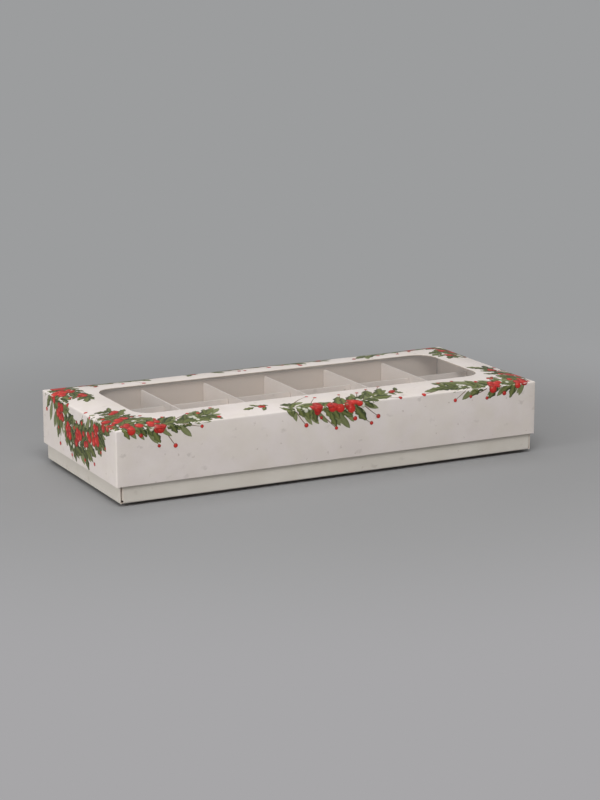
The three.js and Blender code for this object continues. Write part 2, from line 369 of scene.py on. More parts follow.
lid_card = board_material(
    "lid_card", rgb(239, 230, 226), rgb(229, 219, 213), rgb(230, 222, 206), rgb(222, 214, 205))
tray_card = board_material(
    "tray_card", rgb(223, 217, 208), rgb(215, 208, 198), rgb(211, 204, 190), rgb(218, 202, 189))
# For the dividers the fourth tone is the painted highlight on faces that point up.
divider_card = board_material(
    "divider_card", rgb(248, 238, 231), rgb(241, 230, 222), rgb(238, 227, 213), rgb(252, 245, 239),
    has_coating=False)
print("board finishes:", lid_card.name, tray_card.name, divider_card.name)

# %% [markdown]
# The lattice is six strips of plain board that cross in slots, each cut half way through a strip's
# height. Strips could be swept anew, as the tray's are below, but their solids have the slots and the
# bevelled mouths already. So the solids stay, and only take the finish of uncoated board, with a
# painted highlight on their upper edges.

# %% Dividers
dividers = [node for node_name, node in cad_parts.items() if "divider" in node_name]
for divider in dividers:
    divider.data.materials.clear()
    divider.data.materials.append(divider_card)
print("dividers:", len(dividers), "strips")

# %% [markdown]
# The lid is one sheet of board folded down on four sides. It could stay a solid with bevels, but
# board gives itself away in small things: round creases, a raw cut edge, a coated outside and a
# plain inside, a top that is crowned like a cushion, and walls that belly a little, drawn in at crease
# and rim between the corners. So the sheet is built as a closed profile, from the window's edge over
# the top, down the wall and back inside, that runs once round the box, and is then bent as a whole.
# It is drawn a tenth of a millimetre inside the solid, which leaves room for ink.

# %% Sizes of the lid
lid_low, lid_high = (np.array(corner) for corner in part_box("lid_board"))
film_low, film_high = (np.array(corner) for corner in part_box("window_film"))
strip_low, strip_high = (np.array(corner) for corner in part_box("cross_divider_1"))
BOARD = float(strip_high[0] - strip_low[0])
INK = 0.1 * MM  # room for the print outside the board
HALF_LENGTH = float(lid_high[0]) - INK
HALF_WIDTH = float(lid_high[1]) - INK
CROWN = 1.8 * MM  # rise of the top from its creases to the window
TOP = float(lid_high[2]) - CROWN - INK  # at the creases
RIM = float(lid_low[2])
UNDERSIDE = float(film_high[2]) - CROWN
CREASE = 0.8 * MM  # outside radius of a fold
CORNER = 0.6 * MM  # outside radius of the upright corner folds
WINDOW_OVERLAP = 6.0 * MM  # film glued under the rim
WINDOW_BAND = 6.25 * MM  # level board round the window
WINDOW_CORNER = 10.0 * MM
CUT_EDGE = 0.07 * MM  # rounding of a cut edge
DRAW_CREASE = np.array([0.15, 0.8]) * MM  # how far end and long walls draw in at the crease
DRAW_RIM = np.array([0.06, 0.3]) * MM  # and at the rim
SAG = np.array([0.2, 0.3]) * MM  # of their creases between the corners
HALF_WINDOW = film_high[:2] - WINDOW_OVERLAP
SPRING = lid_high[:2] - CORNER  # where the top begins to rise
CROWN_RUN = SPRING - HALF_WINDOW - WINDOW_BAND
print("lid:", round(2 * HALF_LENGTH / MM, 1), "by", round(2 * HALF_WIDTH / MM, 1), "mm")


# %% Bending the lid
def settle(points):
    """Bend the folded lid. The top rises by the crown times f(a) f(b), where a and b run from 0 at
    the creases to 1 at the window's band and f(a) = 1.5 a - 0.5 a cubed. The walls belly: they draw in
    by the square of 2 q - 1, where the depth q is 0 at the crease and 1 at the rim, and the creases
    sag; both fade to the corners with 1 - p to the fourth."""
    plan = points[..., :2]
    depth = np.clip((TOP - CREASE - points[..., 2]) / (TOP - CREASE - RIM), 0, 1)[..., None]
    inside = np.clip((SPRING - np.abs(plan)) / CROWN_RUN, 0, 1)
    rise = 1.5 * inside - 0.5 * inside ** 3
    wall = np.clip((np.abs(plan) - HALF_WINDOW) / (SPRING - HALF_WINDOW), 0, 1)
    along = np.clip(1 - (plan[..., ::-1] / SPRING[::-1]) ** 4, 0, 1)
    draw = np.where(depth < 0.5, DRAW_CREASE, DRAW_RIM) * (2 * depth - 1) ** 2 * wall * along
    sag = SAG * (1 - depth) ** 2 * (1 - rise) * along
    lift = CROWN * rise.prod(axis=-1) - sag.sum(axis=-1)
    return np.concatenate([plan - np.sign(plan) * draw, points[..., 2:] + lift[..., None]], axis=-1)


crown_top = settle(np.array([[0, 0, TOP]]))[0, 2]
print("the lid's board reaches", round(float(crown_top) / MM, 2), "mm at the window")

# %% Profile of the lid
FOLD_ANGLES = np.linspace(0, np.pi / 2, 7)
FOLD_GAP = 0.3 * MM  # from a fold or a cut edge to the next station
LEAST_CORNER = 0.1 * MM
TOP_SHARES = (0.02, *np.linspace(0.1, 0.9, 11), 0.97)  # stations from the window to the crease
UNDERSIDE_SHARES = (*np.linspace(0.94, 0.1, 9), 0.02)  # and back from the crease to the window
WALL_STATIONS = 9
INSIDE_STATIONS = 7


def lid_outline(inset):
    """Half length, half width and corner radius of the lid, drawn in by an inset."""
    return HALF_LENGTH - inset, HALF_WIDTH - inset, np.maximum(CORNER - inset, LEAST_CORNER)


def window_outline(offset):
    """The same of the window, drawn out by an offset."""
    return HALF_WINDOW[0] + offset, HALF_WINDOW[1] + offset, WINDOW_CORNER + offset


def stations(outline, inset, height, coated, folded=0.0):
    """Rows of (half length, half width, corner radius, height, coated, folded), as many as there are
    insets or heights."""
    columns = (*outline(np.atleast_1d(inset)), height, coated, folded)
    return np.column_stack(np.broadcast_arrays(*columns))


def panel_stations(shares, inset, height, coated):
    """Rows at shares of the way from the window's outline to the lid's, on the top or the underside."""
    window, lid = np.array(window_outline(CUT_EDGE)), np.array(lid_outline(inset))
    outlines = window + (lid - window) * np.array(shares)[:, None]
    return np.column_stack([outlines, np.tile((height, coated, 0.0), (len(shares), 1))])


def lid_stations():
    """The closed profile: window edge, top, crease, wall, rim, and back inside."""
    inner_crease = CREASE - BOARD
    reach, drop = 1 - np.sin(FOLD_ANGLES), 1 - np.cos(FOLD_ANGLES)
    outside = np.linspace(TOP - CREASE - FOLD_GAP, RIM + FOLD_GAP, WALL_STATIONS)
    inside = np.linspace(RIM + FOLD_GAP, UNDERSIDE - inner_crease - FOLD_GAP, INSIDE_STATIONS)
    inner_reach, inner_drop = inner_crease * reach[::-1], inner_crease * drop[::-1]
    return np.concatenate([
        stations(window_outline, 0, (UNDERSIDE + CUT_EDGE, TOP - CUT_EDGE), 0),
        stations(window_outline, CUT_EDGE, TOP, 1),
        panel_stations(TOP_SHARES, CREASE, TOP, 1),
        stations(lid_outline, CREASE * reach, TOP - CREASE * drop, 1, folded=1),
        stations(lid_outline, 0, outside, 1),
        stations(lid_outline, 0, RIM + CUT_EDGE, 1),
        stations(lid_outline, (CUT_EDGE, BOARD - CUT_EDGE), RIM, 0),
        stations(lid_outline, BOARD, RIM + CUT_EDGE, 0),
        stations(lid_outline, BOARD, inside, 0),
        stations(lid_outline, BOARD + inner_reach, UNDERSIDE - inner_drop, 0),
        panel_stations(UNDERSIDE_SHARES, BOARD + inner_crease, UNDERSIDE, 0),
        stations(window_outline, CUT_EDGE, UNDERSIDE, 0),
    ])


lid_profile = lid_stations()
print("lid profile:", len(lid_profile), "stations")

# %% Lid sheet
SIDE_STEPS = (30, 72, 30, 72)  # right, back, left and front
CORNER_STEPS = 7
HARD_EDGE = 32  # degrees; flatter edges are shaded smooth


def rounded_path(side_steps, corner_steps):
    """Once round a rounded rectangle as four arrays: a point is (shift * (half - radius) + turn *
    radius) along x and along y, whatever the half size and the radius are."""
    shifts, turns = [], []
    signs = np.array([(1, -1), (1, 1), (-1, 1), (-1, -1)], float)
    for k, steps in enumerate(side_steps):
        here, there = signs[k], signs[(k + 1) % 4]
        angle = np.radians(np.linspace(90 * k - 90, 90 * k, corner_steps))
        arc = np.column_stack([np.cos(angle), np.sin(angle)])
        share = np.linspace(0, 1, steps + 2)[1:-1, None]
        shifts += [np.tile(here, (corner_steps, 1)), here + share * (there - here)]
        turns += [arc, np.tile(arc[-1], (steps, 1))]
    return (*np.concatenate(shifts).T, *np.concatenate(turns).T)


def add_point_value(piece, name, values):
    attribute = piece.data.attributes.new(name, "FLOAT", "POINT")
    attribute.data.foreach_set("value", values.astype(np.float32).ravel())


def make_lid_sheet(material):
    """Carry the profile's stations round the rounded rectangle: one closed sheet of board."""
    shift_x, shift_y, turn_x, turn_y = rounded_path(SIDE_STEPS, CORNER_STEPS)
    half_x, half_y, radius, height, coated, folded = lid_profile.T[:, :, None]
    x = shift_x * (half_x - radius) + turn_x * radius
    y = shift_y * (half_y - radius) + turn_y * radius
    points = settle(np.stack([x, y, np.broadcast_to(height, x.shape)], axis=-1))
    faces = grid_faces(*x.shape, close_rows=True, close_columns=True)
    piece = mesh_piece("lid_sheet", points.reshape(-1, 3), faces, material, smooth_below=HARD_EDGE)
    add_point_value(piece, "coated", np.broadcast_to(coated, x.shape))
    add_point_value(piece, "fold", np.broadcast_to(folded, x.shape))
    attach(piece, "lid")
    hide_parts("lid_board")
    print("lid_sheet", len(faces), "faces")


make_lid_sheet(lid_card)

# %% [markdown]
# The tray is folded from one blank too: the walls go up, over a ledge and down again inside, so that
# they are hollow. The long walls end in tabs that turn the corner behind the end walls, which leaves
# a slit beside each corner, open at the left end and almost closed at the right. A shell of even
# thickness would close those slits, so every part of the tray is a strip of board of its own: a
# folded face, its back one board thickness behind, and cut ends that may run at a slant, as the
# mitred ledges do. The ledges rise inwards, which is what crowns the lid, and the outer walls bow in
# a little.

# %% Sizes of the tray
tray_low, tray_high = (np.array(corner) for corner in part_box("base_tray"))
LEDGE_END = 10.0 * MM
LEDGE_SIDE = 17.0 * MM
LEDGE_FOOT = float(tray_high[2])  # height of a ledge's outer fold
LEDGE_RISE = 1.5 * MM  # from there to its inner fold
MITRE_GAP = 0.2 * MM
CORNER_SLIT = {-1: 0.6 * MM, 1: 0.1 * MM}  # at the left and the right end
TAB_BEND = {-1: 0.8 * MM, 1: 0.3 * MM}  # outside radius of the tabs' bends there
FOOT = 0.8 * MM  # height of an inner wall's lower edge
WALL_BOW = 0.7 * MM  # how far the outer walls bow in at half height
TAB_LENGTH = 14.0 * MM
TAB_INSET = 1.7 * MM  # tabs stop this far short of the floor and the ledge
INNER_COATING = 0.3  # inner walls show little of the coating
TAB_COATING = 0.6
print("tray:", *(round(float(size) / MM, 1) for size in tray_high - tray_low), "mm")


# %% Strips of board
def facing_out(points, faces):
    """Faces of a closed shape, turned round if they make its volume negative."""
    a, b, c, d = np.moveaxis(points[faces], 1, 0)
    volume = np.sum(a * np.cross(b, c)) + np.sum(a * np.cross(c, d))
    return faces if volume > 0 else faces[:, ::-1]


def board_strip(face, normal, low, high, steps):
    """A closed strip of board in (across, height, along): stations of its face, the same stations one
    thickness behind along the normal, both swept from low to high, and quads over the cut ends."""
    count = len(face)
    section = np.concatenate([face, (face - normal * BOARD)[::-1]])
    share = np.linspace(0, 1, steps + 1)
    start = np.concatenate([low, low[::-1]])[:, None]
    end = np.concatenate([high, high[::-1]])[:, None]
    along = start + (end - start) * share
    across = np.broadcast_to(section[:, None, 0], along.shape)
    height = np.broadcast_to(section[:, None, 1], along.shape)
    points = np.stack([across, height, along], axis=-1).reshape(-1, 3)
    sides = grid_faces(2 * count, steps + 1, close_rows=True)
    front = np.arange(count - 1)
    back = 2 * count - 1 - front
    cap = np.stack([front, front + 1, back - 1, back], axis=-1) * (steps + 1)
    return points, np.concatenate([sides, cap[:, ::-1], cap + steps])


def join_strips(name, parts, material):
    """Strips given as (points, faces, coated, folded), as one piece."""
    first = np.cumsum([0] + [len(part[0]) for part in parts[:-1]])
    points = np.concatenate([part[0] for part in parts])
    faces = np.concatenate([facing_out(part[0], part[1]) + start for part, start in zip(parts, first)])
    piece = mesh_piece(name, points, faces, material, smooth_below=HARD_EDGE)
    add_point_value(piece, "coated", np.concatenate([part[2] for part in parts]))
    add_point_value(piece, "fold", np.concatenate([part[3] for part in parts]))
    print(name, len(faces), "faces")
    return piece


print("strips are", round(BOARD / MM, 2), "mm thick")


# %% Section of a hollow wall
def turn(centre, radius, start, count=6, sweep=90):
    """Arc from a heading in degrees, clockwise, as points and normals."""
    angle = np.radians(np.linspace(start, start - sweep, count))
    normal = np.column_stack([np.cos(angle), np.sin(angle)])
    return np.array(centre) + radius * normal, normal


def straight(start, end, normal, count):
    """Line between two points, as points and normals."""
    share = np.linspace(0, 1, count)[:, None]
    points = np.array(start) * (1 - share) + np.array(end) * share
    return points, np.tile(normal, (count, 1)).astype(float)


def hollow_wall(ledge):
    """Section of a hollow wall: lower fold, outer wall, fold, sloping ledge, fold, inner wall. Returns
    face, normal, and how far each station is coated and folded."""
    slope = math.atan2(LEDGE_RISE, ledge)
    lean = math.degrees(slope)
    outer_drop = CREASE * math.tan(math.pi / 4 - slope / 2)
    inner_drop = CREASE * math.tan(math.pi / 4 + slope / 2)
    wall_top = LEDGE_FOOT - outer_drop
    inner_top = LEDGE_FOOT + LEDGE_RISE - inner_drop
    outer = turn((CREASE, wall_top), CREASE, 180, sweep=90 - lean)
    inner = turn((ledge - CREASE, inner_top), CREASE, 90 + lean, sweep=90 + lean)
    panel = straight(outer[0][-1], inner[0][0], outer[1][-1], count=9)
    parts = [
        (turn((CREASE, CREASE), CREASE, 270), 1, 1),
        (straight((0, CREASE + FOLD_GAP), (0, wall_top - FOLD_GAP), (-1, 0), count=8), 1, 0),
        (outer, 1, 1),
        ([values[1:-1] for values in panel], 1, 0),
        (inner, 1, 1),
        (straight((ledge, inner_top - FOLD_GAP), (ledge, FOOT), (1, 0), count=6), INNER_COATING, 0),
    ]
    face = np.concatenate([part[0][0] for part in parts])
    normal = np.concatenate([part[0][1] for part in parts])
    coated = np.concatenate([np.full(len(part[0][0]), part[1]) for part in parts])
    folded = np.concatenate([np.full(len(part[0][0]), part[2]) for part in parts])
    return face, normal, coated, folded


print("hollow wall:", len(hollow_wall(LEDGE_SIDE)[0]), "stations")

# %% Walls of the tray
WALL_STEPS = 24


def wall_half(depth, band, outer, inner, ledge):
    """Half length of a wall at a depth: the band's along the outer wall, and then the mitre's, a line
    from the outer corner to the inner one less half the gap."""
    slope = (outer - inner) / ledge
    mitre = outer - slope * depth - MITRE_GAP / 2 * np.hypot(1, slope)
    return np.where(depth <= CREASE, band, np.minimum(band, mitre))


def bow_in(points, ledge, half):
    """Draw the outer wall in by the bow times 4 q (1 - q), where the height q runs from 0 at the lower
    fold to 1 at the ledge; it fades to the corners with 1 - p to the fourth."""
    across, height, along = points.T
    level = np.clip(height / LEDGE_FOOT, 0, 1)
    fade = np.clip(1 - (along / half) ** 4, 0, 1)
    bow = WALL_BOW * 4 * level * (1 - level) * fade * (across < ledge / 2)
    return across + bow, height, along


def tray_walls():
    """The four hollow walls as (points, faces, coated, folded)."""
    half_x, half_y = tray_high[:2]
    walls = []
    for ledge, is_end in ((LEDGE_SIDE, False), (LEDGE_END, True)):
        face, normal, coated, folded = hollow_wall(ledge)
        depth = face[:, 0]
        if is_end:
            ends = [wall_half(depth, half_y, half_y, half_y - LEDGE_SIDE, ledge)] * 2
        else:
            bands = [half_x - BOARD - CORNER_SLIT[end] - TAB_BEND[end] for end in (-1, 1)]
            ends = [wall_half(depth, band, half_x, half_x - LEDGE_END, ledge) for band in bands]
        points, faces = board_strip(face, normal, -ends[0], ends[1], WALL_STEPS)
        across, height, along = bow_in(points, ledge, ends[1].max())
        values = [np.repeat(np.concatenate([v, 0 * v]), WALL_STEPS + 1) for v in (coated, folded)]
        for side in (-1, 1):
            if is_end:
                placed_wall = np.column_stack([side * (half_x - across), along, height])
            else:
                placed_wall = np.column_stack([along, side * (half_y - across), height])
            walls.append((placed_wall, faces, *values))
    return walls


tray_parts = tray_walls()
print("tray:", len(tray_parts), "hollow walls")


# %% Tray sheet
def corner_tabs():
    """Tabs that carry the long walls round the corners, swept upright."""
    half_x, half_y = tray_high[:2]
    tabs = []
    for end in (-1, 1):
        face_x = half_x - BOARD - CORNER_SLIT[end]
        radius = TAB_BEND[end]
        bend = turn((face_x - radius, half_y - radius), radius, 90)
        root = (face_x, half_y - radius - FOLD_GAP)
        run = straight(root, (face_x, half_y - TAB_LENGTH), (1, 0), count=4)
        face, normal = (np.concatenate([first, second]) for first, second in zip(bend, run))
        low = np.full(len(face), TAB_INSET)
        high = np.full(len(face), LEDGE_FOOT - TAB_INSET)
        points, faces = board_strip(face, normal, low, high, steps=6)
        none = np.zeros(len(points))
        for side in (-1, 1):
            tabs.append((points * (end, side, 1), faces, none + TAB_COATING, none))
    return tabs


def tray_floor(count=13):
    """Floor panel: a flat strip between the lower folds, swept along the box."""
    reach_x, reach_y = tray_high[:2] - CREASE
    across = np.linspace(-reach_y, reach_y, count)
    face = np.column_stack([across, 0 * across])
    ends = np.full(count, reach_x)
    points, faces = board_strip(face, np.tile((0.0, -1.0), (count, 1)), -ends, ends, WALL_STEPS)
    none = np.zeros(len(points))
    return [(points[:, [2, 0, 1]], faces, none, none)]


tray_sheet = join_strips("tray_sheet", tray_parts + corner_tabs() + tray_floor(), tray_card)
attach(tray_sheet, "base")
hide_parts("base_tray")

# %% [markdown]
# The lid's corners are held by four tabs at the ends of its long walls, turned in and glued flat on
# the inside of the end walls. They show only when the lid is off. They could be part of the lid's
# sheet, but a tab lies on the board rather than in it, so the tray's strips serve again: a flat face,
# swept upwards, that narrows towards its free end.

# %% Glue tabs of the lid
LID_TAB_LENGTH = 16.0 * MM
LID_TAB_INSET = 1.6 * MM  # tabs stop this far short of the lid's top and rim
LID_TAB_TAPER = 3.0 * MM  # how far a tab narrows to its free end


def lid_tabs():
    """Four tabs flat on the inside of the end walls, each narrower towards its free end."""
    face_x = HALF_LENGTH - BOARD - DRAW_CREASE[0]
    root = HALF_WIDTH - BOARD - DRAW_CREASE[1]
    face, normal = straight((face_x, root), (face_x, root - LID_TAB_LENGTH), (1, 0), count=6)
    taper = LID_TAB_TAPER * (root - face[:, 1]) / LID_TAB_LENGTH
    low = RIM + LID_TAB_INSET + taper
    high = UNDERSIDE - LID_TAB_INSET - taper
    points, faces = board_strip(face, normal, low, high, steps=4)
    none = np.zeros(len(points))
    corners = [(sign_x, sign_y, 1) for sign_x in (-1, 1) for sign_y in (-1, 1)]
    return [(points * corner, faces, none, none) for corner in corners]


glue_tabs = join_strips("lid_glue_tabs", lid_tabs(), lid_card)
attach(glue_tabs, "lid")

# %% [markdown]
# The window is a clear film glued under the rim. Seen from a low angle a film mirrors a good part of
# the studio and dims what lies below. A see-through shader mixed with a mirror, whose share grows
# towards a grazing view, does that without bending the light, which so thin a film hardly does. The
# lower face adds next to nothing. A film is never quite flat, so broad ripples bend the mirror a
# little, and a faint haze blurs it in places.

# %% Film
FILM_CLEAR = (0.995, 0.995, 0.995, 1.0)
FILM_MIRROR = 0.9  # of a full mirror where the view is grazing
FILM_LEAST = 0.015  # of one on either face from anywhere


def film_material():
    material, start = new_material("clear_film")
    place = start.node("TexCoord", output="Object")
    haze = place.noise(70.0, 4.0, 0.6).ramp(0.45, 0.8)
    ripples = {"Strength": 0.35, "Distance": 0.001, "Height": place.noise(22.0, 2.0)}
    mirror_share = start.node("Fresnel", None, {"IOR": 1.45})
    inside = start.node("NewGeometry", output="Backfacing")
    clear = start.node("BsdfTransparent", None, {"Color": FILM_CLEAR})
    gloss = start.node("BsdfAnisotropic", None, {
        "Color": (1, 1, 1, 1),
        "Roughness": 0.05 + haze * 0.1,
        "Normal": start.node("Bump", None, ripples),
    })
    shown = (mirror_share * (1 - inside) * FILM_MIRROR + FILM_LEAST).clamped()
    finish_surface(start, start.node("MixShader", None, {0: shown, 1: clear, 2: gloss}))
    return material


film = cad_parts["window_film"]
film.data.materials.clear()
film.data.materials.append(film_material())
print("film:", round(float(film_high[2] - film_low[2]) / MM, 2), "mm thick")

# %% [markdown]
# The board is printed flat and folded afterwards, so the design is drawn flat here too: s runs along
# the box and t across it, from the middle of the top. A folding function then lays every point on
# the finished lid, over the creases and down the walls. The ink is a skin of its own a few hundredths
# of a millimetre above the board; each leaf lies a hair higher than the one before it.

# %% Folding the print
PRINT_SIDE_GAP = 0.4 * MM  # bare board beside a corner fold, the window and the lower rim
FLAT = np.array([HALF_LENGTH, HALF_WIDTH]) - CREASE
ARC = CREASE * np.pi / 2


def lay_on_lid(s, t, lift):
    """Flat points laid on the lid. What passes a crease first runs round a quarter circle of the
    crease's radius and then straight down the wall; lift is the height above the board."""

    def over(distance, flat):
        past = np.abs(distance) - flat
        angle = np.clip(past / CREASE, 0, np.pi / 2)
        reach = np.minimum(np.abs(distance), flat) + (CREASE + lift) * np.sin(angle)
        drop = (CREASE + lift) * (1 - np.cos(angle)) + np.maximum(past - ARC, 0)
        return np.sign(distance) * reach, drop

    x, drop_end = over(s, FLAT[0])
    y, drop_side = over(t, FLAT[1])
    return settle(np.stack([x, y, TOP + lift - drop_end - drop_side], axis=-1))


def trim(s, t, over_end):
    """Keep points on the board: out of the open corners of the blank, above the lower rim and off
    the window, whose distance is that of a rounded rectangle."""
    keep = FLAT - PRINT_SIDE_GAP
    lowest = FLAT + ARC + (TOP - CREASE - RIM) - PRINT_SIDE_GAP
    s = np.where(over_end, np.clip(s, -lowest[0], lowest[0]), np.clip(s, -keep[0], keep[0]))
    t = np.where(over_end, np.clip(t, -keep[1], keep[1]), np.clip(t, -lowest[1], lowest[1]))
    past_s = np.abs(s) - (HALF_WINDOW[0] - WINDOW_CORNER)
    past_t = np.abs(t) - (HALF_WINDOW[1] - WINDOW_CORNER)
    out_s = np.maximum(past_s, 0)
    out_t = np.maximum(past_t, 0)
    reach = np.hypot(out_s, out_t)
    distance = reach + np.minimum(np.maximum(past_s, past_t), 0) - WINDOW_CORNER
    push = np.maximum(PRINT_SIDE_GAP - distance, 0)
    in_corner = reach > 0
    length = np.where(in_corner, reach, 1)
    share_s = np.where(in_corner, out_s / length, past_s >= past_t)
    share_t = np.where(in_corner, out_t / length, past_s < past_t)
    return s + np.sign(s) * share_s * push, t + np.sign(t) * share_t * push


print("print may reach", round(float(ARC + TOP - CREASE - RIM) / MM, 1), "mm past a crease")

# %% [markdown]
# The motifs are old winter standbys: holly leaves, mistletoe, round berries and thin brown twigs.
# A plane with a picture on it could stand for each, but its edges would show from near by. So each
# kind is one formula on a small grid, evaluated for all its copies at once. Colours are painted on
# the points: a pale midrib, a light and a dark half, a bright spot on each berry.

# %% Motif shapes
# Columns of a table of copies: place, length and width in millimetres, angle in radians, bend as a
# share of the length, tone from 0 to 1, and 1 for copies that may cross an end's crease. A berry's
# length is its diameter.
S, T, ANGLE, LENGTH, WIDTH, BEND, TONE, OVER_END = range(8)


def column(table, k):
    """One column of a table, ready to be spread over each copy's grid."""
    return table[:, k, None, None]


def placed(table, along, across):
    """Turn each row's grid by its angle and move it to its place."""
    cosine, sine = np.cos(column(table, ANGLE)), np.sin(column(table, ANGLE))
    flat_s = column(table, S) + along * cosine - across * sine
    flat_t = column(table, T) + along * sine + across * cosine
    return flat_s * MM, flat_t * MM


def leaf_grid(table, rows, columns, outline):
    """Leaves whose half width follows an outline of u and whose midrib bends with u squared."""
    u = np.linspace(0, 1, rows)[None, :, None]
    v = np.linspace(-1, 1, columns)[None, None, :]
    length, width, bend = (column(table, k) for k in (LENGTH, WIDTH, BEND))
    along = u * length + 0 * v
    across = v * width / 2 * outline(u) + bend * length * u ** 2
    return (*placed(table, along, across), u, v)


def disc_grid(table, cells):
    """Round patches: a square grid pressed into a circle, so that there is no pole. A point (u, v) goes
    to u times the root of 1 - v squared / 2, and v the other way round."""
    u = np.linspace(-1, 1, cells + 1)[None, :, None]
    v = np.linspace(-1, 1, cells + 1)[None, None, :]
    radius = column(table, LENGTH) / 2
    disc_u = u * np.sqrt(1 - v ** 2 / 2)
    disc_v = v * np.sqrt(1 - u ** 2 / 2)
    return (*placed(table, radius * disc_u, radius * disc_v), disc_u, disc_v)


def holly_outline(u):
    """Half width sin(pi u) to the 0.6, times a wave that stands out in spines at thirds."""
    return np.sin(np.pi * u).clip(0) ** 0.6 * (0.8 + 0.2 * np.cos(6 * np.pi * u))


def mistletoe_outline(u):
    """A narrow paddle, widest past its middle: sin(pi u to the 1.4) to the 0.8, and a little more."""
    return np.sin(np.pi * u ** 1.4).clip(0) ** 0.8 + 0.06


def twig_outline(u):
    """Thin stalks that taper evenly to their tips."""
    return 1 - 0.6 * u


print("half width of a holly leaf's first spine:", round(float(holly_outline(np.array(1 / 3))), 2))

# %% Motif colours
HOLLY_GREENS = (0.020, 0.034, 0.009), (0.185, 0.210, 0.060)
MISTLETOE_GREENS = (0.055, 0.075, 0.025), (0.260, 0.285, 0.125)
BERRY_REDS = (0.20, 0.007, 0.007), (0.66, 0.028, 0.020)
BERRY_SPOT = np.array([0.24, 0.17, 0.14])
PALE_BERRY_WHITES = (0.36, 0.37, 0.27), (0.80, 0.78, 0.68)
TWIG_BROWNS = (0.060, 0.028, 0.012), (0.220, 0.130, 0.060)


def shade(tones, share):
    """Colours between two linear colours, one for each share."""
    low, high = np.array(tones)
    share = np.clip(share, 0, 1)[..., None]
    return low * (1 - share) + high * share


def holly_colour(u, v, tone):
    """Dark olive green with a light half, a pale midrib, a paler tip and a dark edge."""
    midrib = 0.5 * (np.abs(v) < 0.1)
    edge = 0.4 * (np.abs(v) > 0.9)
    return shade(HOLLY_GREENS, 0.1 + 0.55 * tone - 0.3 * v + midrib + 0.15 * u - edge)


def mistletoe_colour(u, v, tone):
    """Grey-green, paler along the middle and at the tip."""
    return shade(MISTLETOE_GREENS, 0.25 + 0.4 * tone + 0.3 * (1 - np.abs(v)) + 0.2 * u)


def berry_colour(u, v, tone):
    """Red with a dark rim and a bright spot, a bell curve towards the upper left."""
    spot = np.exp(-((u + 0.3) ** 2 + (v - 0.35) ** 2) / 0.06)
    body = shade(BERRY_REDS, 0.3 + 0.5 * tone + 0.7 * (0.6 - u ** 2 - v ** 2))
    return body + spot[..., None] * BERRY_SPOT


def pale_berry_colour(u, v, tone):
    """Waxy white with a grey-green rim."""
    return shade(PALE_BERRY_WHITES, 0.9 + 0.2 * tone - 0.9 * (u ** 2 + v ** 2))


def twig_colour(u, v, tone):
    """Brown, darker on one side."""
    return shade(TWIG_BROWNS, 0.3 + 0.5 * tone + 0.3 * v)


print("motif colours: holly, mistletoe, berries, pale berries and twigs")

# %% [markdown]
# The layout is symmetrical: a swag on each end wall, two sprays at each corner of the top, and one in
# the middle of each long side with a sprig to its left and right. Leaves could be strewn at random,
# but a garland has a line to it, so every spray follows a curve in the flat blank. Leaves stand along
# it to both sides, twigs and mistletoe reach a little further out than holly, and berries sit in
# tufts on top and at the ends of the twigs. A seeded generator gives each leaf its own size and lean.

# %% Curves of the sprays
CURVES = {  # three points in the flat blank, in millimetres
    "swag": ((110, 42), (160, 0), (110, -42)),
    "rim": ((117, 45), (96, 52), (66, 43)),
    "end": ((113, 42), (108, 30), (109, 16)),
    "sprig": ((33, 41), (37, 43), (41, 41)),
    "middle": ((-28, 43), (0, 59), (28, 43)),
}
OVER_END_SPRAYS = ("swag", "end")  # may cross an end's crease; the others may cross a long one


def on_curve(curve, share):
    """Points and headings on the curve that leaves its first point towards the second and comes to
    the third from there."""
    start, bend, end = curve
    q = share[:, None]
    point = (1 - q) ** 2 * start + 2 * q * (1 - q) * bend + q ** 2 * end
    heading = 2 * (1 - q) * (bend - start) + 2 * q * (end - bend)
    return point, np.arctan2(heading[:, 1], heading[:, 0])


print("sprays:", ", ".join(CURVES))

# %% Leaves and berries along a curve
SEED = 24
MOST_BEND = 0.18  # of a leaf, as a share of its length
rng = np.random.default_rng(SEED)


def stand_along(curve, over_end, count, lean, length, plumpness, scatter):
    """Table of leaves or twigs along a curve, in turn to its left and right."""
    share = (np.arange(count) + rng.uniform(0.1, 0.9, count)) / count
    point, heading = on_curve(curve, share)
    side = np.where(np.arange(count) % 2, 1.0, -1.0)
    angle = heading + side * rng.uniform(*lean, count)
    point = point + rng.uniform(-scatter, scatter, (count, 2))
    size = rng.uniform(*length, count)
    width = size * rng.uniform(*plumpness, count)
    bend = -side * rng.uniform(0.0, MOST_BEND, count)
    tone = rng.uniform(0, 1, count)
    return np.column_stack([point, angle, size, width, bend, tone, np.full(count, over_end)])


def tufts(curve, over_end, shares, count, diameter, spread):
    """Table of berries in tufts at some places of a curve, each spread over a disc."""
    point, _ = on_curve(curve, np.repeat(np.array(shares, float), count))
    total = len(point)
    spin = rng.uniform(0, 2 * np.pi, total)
    away = spread * np.sqrt(rng.uniform(0.05, 1, total))
    point = point + np.column_stack([away * np.cos(spin), away * np.sin(spin)])
    size = rng.uniform(*diameter, total)
    tone = rng.uniform(0, 1, total)
    none = np.zeros(total)
    return np.column_stack([point, none, size, none, none, tone, np.full(total, over_end)])


def tips(twig_table, diameter):
    """Table of berries at the free ends of twigs."""
    angle, length, bend = (twig_table[:, k] for k in (ANGLE, LENGTH, BEND))
    table = twig_table.copy()
    table[:, S] += length * (np.cos(angle) - bend * np.sin(angle))
    table[:, T] += length * (np.sin(angle) + bend * np.cos(angle))
    table[:, ANGLE] = 0
    table[:, LENGTH] = rng.uniform(*diameter, len(table))
    return table


print("sprays are drawn from seed", SEED)

